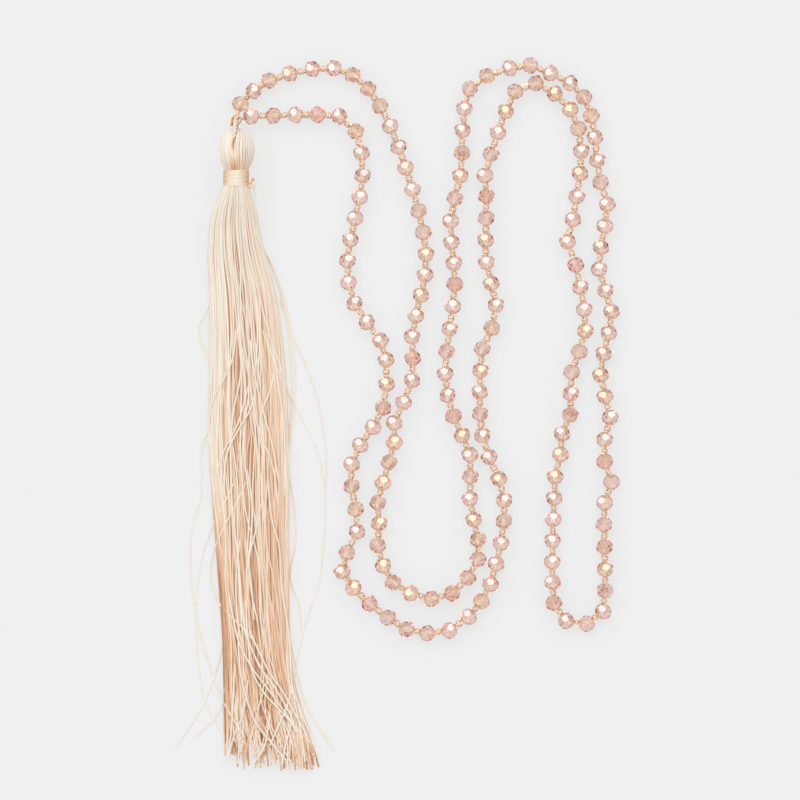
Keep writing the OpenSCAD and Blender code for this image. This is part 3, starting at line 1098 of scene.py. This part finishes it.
def head_thread(number, inner):
    """One silk thread over the head, as points, with its radius and its shade at each."""
    quarter = HEAD_THREADS // 4
    side, place = divmod(number, quarter)
    share = (place + 0.5) / quarter + chance.gauss(0, 0.16) / quarter
    pale = chance.random()
    line, radii, shades = [], [], []
    for part in HEAD_PARTS:
        down = max(part, 0)
        out = HEAD_RADIUS * read_off(HEAD_OUTLINE, down)
        if part < 0:
            out *= 0.55 if part < -0.04 else 0.85
        if part > 1:
            out = NECK_RADIUS
        radius = min(MOST_RADIUS, 2 * math.pi * out / HEAD_THREADS * 0.54)
        out = out - radius - inner * min(1.0, 0.3 + 1.4 * down * down)
        gap = min(1.2, read_off(PARTING, down) / max(out, 1.0))
        middle = math.pi / 2 + read_off(PARTING, down, column=2)
        angle = head_angle(side, share, gap, middle)
        to_right = 0.4 * math.sin(math.pi * min(1.0, down))
        line.append(round_axis(HEAD_TOP - HEAD_LENGTH * abs(part), out, angle, to_right))
        radii.append(radius)
        # Painted shade: the lower half, sunken threads, a fan low in the middle and the edges of the slit are
        # painted deeper; pale is each thread's own random tone.
        fan_shade = ease(down, 0.55, 0.95) * bell(angle - FAN_SHADE_MIDDLE, 0.42)
        slit_shade = ease(down, 0.08, 0.2) * (1 - ease(down, 0.42, 0.6)) * bell(angle - middle, 0.14)
        tone = 0.72 + 0.3 * pale - 0.8 * max(0.0, down - 0.5) - 1.6 * inner * down
        shades.append(tone - 0.9 * fan_shade - 1.6 * slit_shade)
    return line, radii, shades


head_lines = []
for n in range(HEAD_THREADS):
    inner = min(0.25, max(0.0, chance.gauss(0.06, 0.16)))
    head_lines.append(head_thread(n, inner))
head = threads("head_threads", head_lines, silk, step=0.6, sides=6)
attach(head, "root")
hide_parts("tassel_head")

# %% [markdown]
# ## Bodies under the threads
# Under the outer threads lie many more, packed tight. Modelling them all would be waste, so a closed body a
# little smaller than the outer form stands for them. Its material is streaked along the tassel in deep
# colours that are painted shade, the shade that shows between the threads: a noise squeezed to fine lines,
# which sets the colour and the bump. A faint warm glow is painted light in the darkest gaps.

# %% Packed silk
packed, packed_tree, packed_shader = plain_material("packed_silk", (0.6, 0.36, 0.2), 0.6)
# Painted light: a faint warm glow, so that the deepest gaps show brown and not black.
glow(packed_shader, (1.0, 0.55, 0.28), 0.08)


def build_packed(tree, shader):
    """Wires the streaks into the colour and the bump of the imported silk."""
    where = tree.nodes.new("ShaderNodeTexCoord")
    squeeze = tree.nodes.new("ShaderNodeMapping")
    squeeze.inputs["Scale"].default_value = (1500, 40, 1500)
    noise = tree.nodes.new("ShaderNodeTexNoise")
    noise.inputs["Scale"].default_value = 1.0
    noise.inputs["Detail"].default_value = 3.0
    tree.links.new(where.outputs["Object"], squeeze.inputs["Vector"])
    tree.links.new(squeeze.outputs["Vector"], noise.inputs["Vector"])
    streaks = noise.outputs["Fac"]
    # Painted shade: the streaks run between two deep colours.
    colour = colour_ramp(tree, streaks, [(0.43, (0.42, 0.25, 0.14)), (0.57, (0.78, 0.57, 0.41))])
    tree.links.new(colour, shader.inputs["Base Color"])
    raise_by(tree, shader, streaks, 0.3)


build_packed(packed_tree, packed_shader)
print("packed silk:", len(packed_tree.nodes), "nodes")

# %% Body of the head
def loft(name, rings, material):
    """A closed body through rings of points (mm), each ring in the same order, with its two ends capped."""
    count = len(rings[0])
    points = [tuple(np.array(p) * MM) for ring in rings for p in ring]
    faces = []
    for r in range(len(rings) - 1):
        for i in range(count):
            j = (i + 1) % count
            faces.append((r * count + i, (r + 1) * count + i, (r + 1) * count + j, r * count + j))
    last = (len(rings) - 1) * count
    faces.append(tuple(range(count)))
    faces.append(tuple(last + count - 1 - i for i in range(count)))
    mesh = bpy.data.meshes.new(name)
    mesh.from_pydata(points, [], faces)
    work = bmesh.new()
    work.from_mesh(mesh)
    bmesh.ops.recalc_face_normals(work, faces=work.faces)
    work.to_mesh(mesh)
    work.free()
    for face in mesh.polygons:
        face.use_smooth = True
    mesh.materials.append(material)
    piece = new_object(name, mesh)
    print(name, "triangles", triangles(piece))
    return piece


BODY_ROWS = [
    (0.02, 1.1), (0.07, 2.2), (0.12, 3.0), (0.18, 3.8), (0.26, 4.6), (0.4, 5.3), (0.6, 5.6), (0.78, 5.1),
    (0.9, 4.4), (1.0, 3.8), (1.45, 3.6),
]
RING_POINTS = 32

steps = [2 * math.pi * i / RING_POINTS for i in range(RING_POINTS)]
head_rings = [[round_axis(HEAD_TOP - HEAD_LENGTH * part, out, a) for a in steps] for part, out in BODY_ROWS]
head_body = loft("head_body", head_rings, packed)
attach(head_body, "root")

# %% [markdown]
# ## The binding and its tie
# Below the head the silk is bound with the same thread, wound round and round. One long spiral line makes
# the whole winding. Satin shines across its fibres and not along them, so the winding is painted pale on
# top, as its sheen, and painted deeper at the sides as shade, in blotches that change along the winding.
# Its end is tied off at the right with a small knot, singed at one tip, with a short tail.

# %% Wind the binding
BINDING_TOP = 87.85
BINDING_END = 81.55
BINDING_RADIUS = 4.75
WINDING_THREAD = 0.34
TURNS = 11
STEPS = TURNS * 28

spiral, spiral_shades = [], []
for i in range(STEPS + 1):
    t = i / STEPS
    a = 2 * math.pi * TURNS * t
    out = BINDING_RADIUS - WINDING_THREAD + 0.05 * math.sin(2.7 * a)
    y = BINDING_TOP - WINDING_THREAD + (BINDING_END - BINDING_TOP + 2 * WINDING_THREAD) * t
    spiral.append(round_axis(y, out, a))
    # Painted sheen on top and painted shade at the sides, the shade wobbling along the winding.
    shine = 0.72 * max(0.0, math.sin(a)) ** 2.5 - 0.08
    side_shade_wobble = 0.5 + 0.35 * math.sin(21 * t)
    spiral_shades.append(shine - side_shade_wobble * abs(math.cos(a)) ** 3)
binding = threads("binding_winding", [(spiral, WINDING_THREAD, spiral_shades)], silk, step=0.55, sides=6)
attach(binding, "root")
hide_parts("tassel_binding")

# %% Tie it off
tie_knot = [
    (-60.2, 82.0, 8.6), (-59.4, 82.0, 8.3), (-58.7, 82.5, 7.9), (-58.3, 83.3, 7.3), (-58.5, 83.6, 6.4),
    (-59.0, 82.9, 5.8), (-59.1, 82.0, 6.2), (-58.5, 81.7, 7.0), (-57.9, 82.2, 7.6), (-57.8, 83.0, 7.7),
    (-58.2, 83.9, 7.4),
]
tie_shades = [0.0, 0.0, 0.2, 0.6, 0.6, 0.6, 0.8, 1.0, 0.9, 0.4, 0.0]
tail = [
    (-59.3, 81.5, 8.3), (-58.6, 81.6, 7.8), (-58.0, 82.2, 7.2), (-57.9, 81.6, 6.8), (-57.9, 80.4, 6.9),
    (-57.5, 79.0, 6.6), (-57.4, 77.6, 6.2),
]
tail_radii = [0.46, 0.46, 0.42, 0.38, 0.34, 0.3, 0.2]
tie_lines = [(tie_knot, 0.5, tie_shades), (tail, tail_radii, 0.9)]
tie_off = threads("tie_off_knot", tie_lines, silk, step=0.35, sides=6)
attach(tie_off, "root")
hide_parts("binding_knot")

tip_line = [(-58.1, 83.7, 7.5), (-58.3, 84.3, 7.3), (-58.4, 84.9, 7.1)]
tip = threads("tie_off_tip", [(tip_line, [0.38, 0.5, 0.3], 0.5)], singed, step=0.2, sides=8)
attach(tip, "root")

# %% [markdown]
# ## The shape of the skirt
# The skirt's solid gives its edges, its top and how deep it reaches at each place along the tassel. The
# same rows are repeated here: place along, left edge, right edge, top and underside. The lower end lies
# flat, so its underside is given below the table and then cut off at it. skirt_at() reads the rows
# smoothly, and skirt_height() tells how high the bundle stands at any place, so a loose thread can be laid
# over it.

# %% Skirt sections
SKIRT_SECTIONS = [
    (81.25, -69, -59.8, 10.9, 1.8), (77, -71.5, -58, 10.6, 1), (72, -73.5, -56.5, 9.9, 0.2),
    (66, -74.5, -55.5, 9, -0.4), (55, -75, -53, 7.8, -0.8), (44, -74.5, -50, 7, -1),
    (22, -74.5, -47, 6, -1.2), (-14, -74.5, -45, 5.2, -1.2), (-50, -72, -45, 5, -1.2),
    (-86, -69.5, -44.5, 4.8, -1.2), (-105, -69.5, -41.5, 4.4, -1.2), (-118, -69.5, -38.5, 4, -1.2),
    (-128.7, -69, -37, 3.4, -1.2),
]
SKIRT_TOP = 81.25
SKIRT_END = -128.7
SILK_RADIUS = 0.31


def skirt_at(y):
    """Left edge, right edge, top and underside of the skirt at that place, in mm."""
    return on_curve(SKIRT_SECTIONS, np.clip(y, SKIRT_END, SKIRT_TOP))[:, 1:].T


def skirt_height(x, y):
    """How high the bundle stands at a place on the table, and 0 beside it."""
    left, right, top, low = skirt_at(y)
    off = np.abs(np.asarray(x, float) - (left + right) / 2) / ((right - left) / 2)
    rise = np.sqrt(np.clip(1 - np.clip(off, 0, 1) ** 2.5, 0, 1))
    return np.where(off < 1, (top + low) / 2 + (top - low) / 2 * rise, 0.0)


print("skirt", SKIRT_TOP - SKIRT_END, "mm long")

# %% Body of the skirt
BODY_RINGS = 48
BODY_SIDES = 40
BODY_LOWEST = 0.25


def oval_side(mid, wide, angle):
    """How far across an oval with rather square sides lies, at that angle."""
    return mid + wide * math.copysign(abs(math.cos(angle)) ** 0.8, math.cos(angle))


skirt_rings = []
for y in np.linspace(SKIRT_TOP + 2.0, SKIRT_END + 8, BODY_RINGS):
    left, right, top, low = (float(v[0]) for v in skirt_at([y]))
    pinch = 1.35 + 4 * max(0.0, (SKIRT_END + 24 - y) / 16) ** 2
    mid, wide = (left + right) / 2, (right - left) / 2 - pinch
    level = (top + low) / 2 - 0.1 * pinch
    tall = max(0.4, (top - low) / 2 - 0.4 - 0.6 * pinch)
    ring = []
    for i in range(BODY_SIDES):
        a = 2 * math.pi * i / BODY_SIDES
        ring.append((oval_side(mid, wide, a), y, max(BODY_LOWEST, level + tall * math.sin(a))))
    skirt_rings.append(ring)
skirt_body = loft("skirt_body", skirt_rings, packed)
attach(skirt_body, "root")

# %% [markdown]
# ## The hanging threads
# Silk threads don't hang one by one: a few cling together as a lock, and locks slide apart and cross lower
# down. So each lock sways on a slow random curve, its threads sway a little more on their own, and both
# grow from nothing at the binding. Four layers lie over each other, and the deeper a layer, the deeper its
# painted shade. Each row gives a layer's name, its number of threads, how deep it lies in mm and its painted
# shade.

# %% Curves and places in the bundle
LAYERS = [
    ("top", 52, 0.0, 1.15),
    ("middle", 62, 0.26, 0.8),
    ("low", 72, 0.52, 0.5),
    ("under", 80, 0.78, 0.2),
]
FIRST_ANGLE = -24
ANGLE_RANGE = 228


def slow_wave(source, waves, reach):
    """A smooth random curve of t from 0 to 1, as a function."""
    parts = []
    for w in range(1, waves + 1):
        parts.append((w * math.pi, source.uniform(0, 2 * math.pi), reach * source.gauss(0, 1) / w**0.75))
    return lambda t: sum(size * math.sin(phase + speed * t) for speed, phase, size in parts)


def lay_in_skirt(share, y, depth):
    """A place on the bundle: share runs from 0 at the right floor edge over the top to 1 at the left."""
    left, right, top, low = (float(v[0]) for v in skirt_at([y]))
    angle = math.radians(FIRST_ANGLE + ANGLE_RANGE * share)
    x = oval_side((left + right) / 2, (right - left) / 2 - depth, angle)
    level, tall = (top + low) / 2, max(0.5, (top - low) / 2 - depth)
    return x, max(SILK_RADIUS, level + tall * math.sin(angle))


print("skirt threads:", sum(count for _, count, _, _ in LAYERS))

# %% [markdown]
# ## One thread of the skirt
# Each thread starts 1.6 mm up under the binding. t runs from 0 there to 1 at its cut end, and a thread's
# home is its place round the bundle, from 0 at the right to 1 at the left. Low down, the middle of the
# bundle was combed to the right and the ends splay out, and every thread was cut at its own length. It
# goes darker towards the fringe, and painted shade deepens it where it dives, near the edges and in a
# bunch low at the left. Some tips are lifted back to pale.

# %% Layers of threads
LOCK_SIZE = 3
POINTS = 40
HIDDEN_START = 1.6


def thread_shade(t, home, tone, dive, bright_tip):
    """How pale one thread is at t of its length."""
    # Painted shade at the edges, in the low left bunch and where the thread dives, and darker towards the
    # fringe; bright_tip lifts some tips back to pale.
    edge_shade = ease(abs(home - 0.5), 0.28, 0.5) * ease(t, 0.1, 0.5)
    bunch_shade = ease(home, 0.62, 0.8) * ease(t, 0.5, 0.75) * (1 - 0.7 * ease(t, 0.84, 0.98))
    darker_down = 0.24 + 0.82 * t - 0.08 * (1 - ease(t, 0.02, 0.3))
    painted_shade = 0.45 * dive + 1.1 * bunch_shade + 0.5 * edge_shade
    return tone - darker_down - painted_shade + bright_tip * ease(t, 0.86, 0.97)


def layer_threads(count, deep, pale, source):
    """The threads of one layer, as lines with their radii and shades."""
    made = []
    for number in range(count):
        if number % LOCK_SIZE == 0:
            lock_sway = slow_wave(source, 6, 0.036 - 0.022 * deep)
            lock_dive = slow_wave(source, 5, 0.3)
        home = (number + 0.5 + source.uniform(-0.35, 0.35)) / count
        own_sway = slow_wave(source, 11, 0.032 - 0.018 * deep)
        combed = (0.04 + 0.09 * source.random()) * max(0.0, 1 - abs(home - 0.62) / 0.42)
        flare = source.gauss(0, 0.07 - 0.05 * deep)
        splay = source.gauss(0, 2.0 - deep) + 3.5 * (0.5 - home) * source.random()
        splay += 4.5 * ease(home, 0.6, 0.95)
        end = SKIRT_END + source.uniform(-1.8, 7.5) + 5 * ease(home, 0.6, 0.85)
        # The layer's painted shade, deeper for deeper layers, plus a random tone of the thread's own.
        tone = pale + source.gauss(0, 0.28)
        bright_tip = 0.9 * source.random()
        line, shades = [], []
        for i in range(POINTS):
            t = i / (POINTS - 1)
            y = SKIRT_TOP + HIDDEN_START + (end - SKIRT_TOP - HIDDEN_START) * t
            loose = 0.12 + 0.88 * t
            share = home + loose * (lock_sway(t) + own_sway(t) - own_sway(0) * (1 - t))
            share += flare * ease(t, 0.86, 1.1) - combed * ease(t, 0.72, 1.0)
            dive = 0.22 * (1 + math.sin(3 * lock_dive(t) + number)) * loose
            x, z = lay_in_skirt(min(0.99, max(0.01, share)), y, SILK_RADIUS + deep + dive)
            line.append((x + splay * ease(t, 0.86, 1.04), y, z))
            shades.append(thread_shade(t, home, tone, dive, bright_tip))
        full = SILK_RADIUS * source.uniform(0.9, 1.15)
        radii = [full * min(1.0, 0.7 + 1.6 * i / (POINTS - 1)) for i in range(POINTS)]
        made.append((line, radii, shades))
    return made


source = random.Random(5)
for label, count, deep, pale in LAYERS:
    lines = layer_threads(count, deep, pale, source)
    piece = threads(f"skirt_threads_{label}", lines, silk, step=3.4, sides=5)
    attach(piece, "root")
    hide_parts("tassel_skirt")

# %% [markdown]
# ## Threads that lie across the skirt
# Some threads have left their lock and lie across the others, which breaks up the straight fall. These were
# read off the photograph one by one, as places along each thread. The first group stays on the skirt, and
# the second strays onto the table.

# %% Readings of the loose threads
CROSSING = [
    [(248, 212), (262, 245), (276, 275), (287, 310), (293, 345), (295, 380), (294, 410), (290, 440),
     (287, 480)],
    [(250, 220), (268, 258), (280, 292), (288, 330), (291, 365), (292, 400), (289, 430), (286, 470),
     (288, 510)],
    [(246, 240), (258, 290), (268, 330), (280, 365), (290, 400), (291, 430), (288, 460)],
    [(236, 330), (233, 358), (222, 383), (212, 402), (209, 425), (210, 460)],
    [(250, 380), (239, 421), (233, 434), (224, 451), (216, 478), (213, 520)],
    [(256, 385), (252, 406), (239, 429), (229, 448), (225, 467), (224, 500)],
    [(275, 365), (273, 379), (269, 394), (262, 411), (260, 427), (262, 450)],
    [(238, 310), (241, 344), (248, 371), (252, 396), (260, 434), (269, 455), (275, 478), (279, 520)],
    [(250, 340), (254, 371), (262, 406), (273, 448), (280, 490)],
    [(270, 330), (277, 375), (283, 419), (285, 448), (284, 500)],
    [(244, 345), (240, 380), (233, 415), (231, 448), (232, 500)],
    [(228, 590), (233, 616), (239, 642), (253, 669), (266, 686), (282, 708), (299, 731), (313, 745)],
    [(240, 620), (251, 647), (260, 667), (274, 686), (290, 714), (301, 739), (317, 760)],
    [(248, 625), (256, 645), (270, 673), (282, 690), (293, 710), (305, 733), (309, 752)],
    [(238, 620), (239, 655), (241, 675), (247, 700), (256, 723), (270, 741), (286, 760)],
    [(246, 600), (247, 628), (249, 647), (251, 667), (262, 690), (274, 704), (290, 721), (297, 733)],
    [(280, 560), (282, 589), (286, 616), (290, 647), (291, 675), (295, 704), (301, 731), (305, 762)],
    [(290, 690), (291, 723), (286, 743), (282, 764)],
    [(292, 670), (289, 700), (278, 727), (270, 745)],
    [(238, 680), (237, 713), (239, 739), (238, 764)],
    [(248, 680), (243, 713), (233, 739), (228, 760)],
    [(235, 660), (233, 703), (231, 733), (227, 762)],
    [(270, 715), (264, 748), (253, 764)],
    [(286, 650), (291, 690), (299, 705), (309, 739), (311, 750)],
    [(262, 500), (256, 530), (249, 560), (252, 590), (254, 620)],
    [(247, 470), (252, 500), (251, 540), (247, 570), (248, 600)],
    [(268, 480), (272, 520), (279, 545), (281, 580)],
    [(240, 540), (236, 580), (238, 620), (243, 650)],
]
STRAY = [
    [(214, 415), (208, 434), (202, 444), (201, 469), (201, 495), (194, 520), (190, 548), (192, 592),
     (203, 645), (221, 697), (244, 737)],
    [(236, 478), (226, 500), (213, 525), (202, 557), (196, 596), (196, 634), (199, 672), (205, 701),
     (224, 737)],
    [(246, 482), (238, 500), (219, 538), (211, 563), (213, 592), (224, 609), (247, 632), (262, 652)],
    [(226, 625), (221, 653), (213, 680), (202, 707), (175, 749)],
    [(226, 670), (223, 703), (213, 720), (195, 737)],
    [(262, 330), (282, 380), (296, 408), (308, 431), (318, 456), (324, 488), (325, 514), (323, 546),
     (318, 586), (305, 624), (297, 663), (295, 691), (308, 740)],
    [(280, 300), (294, 340), (305, 364), (317, 399), (324, 437), (326, 463), (325, 495)],
    [(290, 640), (297, 672), (307, 707), (334, 751)],
    [(288, 470), (293, 500), (296, 538), (290, 577), (299, 607), (301, 630)],
    [(214, 296), (207, 310), (199, 325), (199, 338), (207, 357), (213, 375)],
]

print("loose threads:", len(CROSSING), "on the skirt and", len(STRAY), "beside it")

# %% [markdown]
# ## Lay the loose threads down
# lay_over() finds the height of such a thread: on the skirt it rests on the bundle, and beside it on the
# table, with an easy slope between. Above the fringe, its ends are tucked in among the others, because no
# thread is cut there. The slope comes from a running mean over a few points to both sides.

# %% Crossing and stray threads
POINT_SPACING = 3
TUCK_DEPTH = 1.4
TUCK_LENGTH = 7
FRINGE_LENGTH = 18
EASE_REACH = 4
EASE_WIDTH = 1.6


def lay_over(readings, lift, radius):
    """A thread through readings of the photograph, laid over the skirt or on the table."""
    flat = np.array([spot(*r) for r in readings])
    legs = np.r_[0, np.cumsum(np.linalg.norm(np.diff(flat, axis=0), axis=1))]
    where = np.linspace(0, legs[-1], max(6, int(legs[-1] / POINT_SPACING)))
    path = on_curve(np.column_stack([legs, flat]), where)[:, 1:]
    height = skirt_height(path[:, 0], path[:, 1])
    from_end = np.minimum(where, legs[-1] - where)
    above_fringe = path[:, 1] > SKIRT_END + FRINGE_LENGTH
    tucked = TUCK_DEPTH * np.clip(1 - from_end / TUCK_LENGTH, 0, 1) * above_fringe
    height = np.where(height > 0, height + lift - tucked, radius)
    spread = np.exp(-0.5 * (np.arange(-EASE_REACH, EASE_REACH + 1) / EASE_WIDTH) ** 2)
    padded = np.pad(height, EASE_REACH, mode="edge")
    eased = np.convolve(padded, spread / spread.sum(), mode="valid")
    return np.column_stack([path, np.maximum(eased, radius)])


loose_lines = []
for group, radius in ((CROSSING, 0.33), (STRAY, 0.3)):
    for readings in group:
        line = lay_over(readings, source.uniform(-0.1, 0.35), radius)
        loose_lines.append((line, radius, 0.6 + 0.4 * source.random()))
loose = threads("loose_threads", loose_lines, silk, step=2.2, sides=6)
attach(loose, "root")

# %% [markdown]
# ## Clear the bench
# The single bead and the single knot were only patterns to copy, so they go.

# %% Remove the patterns
for pattern in (one_bead, one_knot):
    bpy.data.objects.remove(pattern)
pieces = [o for o in bpy.data.objects if o.type == "MESH" and "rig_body" in o and "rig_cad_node" not in o]
total = sum(triangles(o) for o in pieces)
print("pieces:", len(pieces), "triangles in all", total)

# %% [markdown]
# ## The sizes
# The sizes of the dressed necklace and of its solids are printed side by side.

# %% Sizes
dressed_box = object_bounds()
for label, (low, high) in (("solids", solid_box), ("dressed", dressed_box)):
    print(label, [round((b - a) * 1000, 1) for a, b in zip(low, high)], "mm")
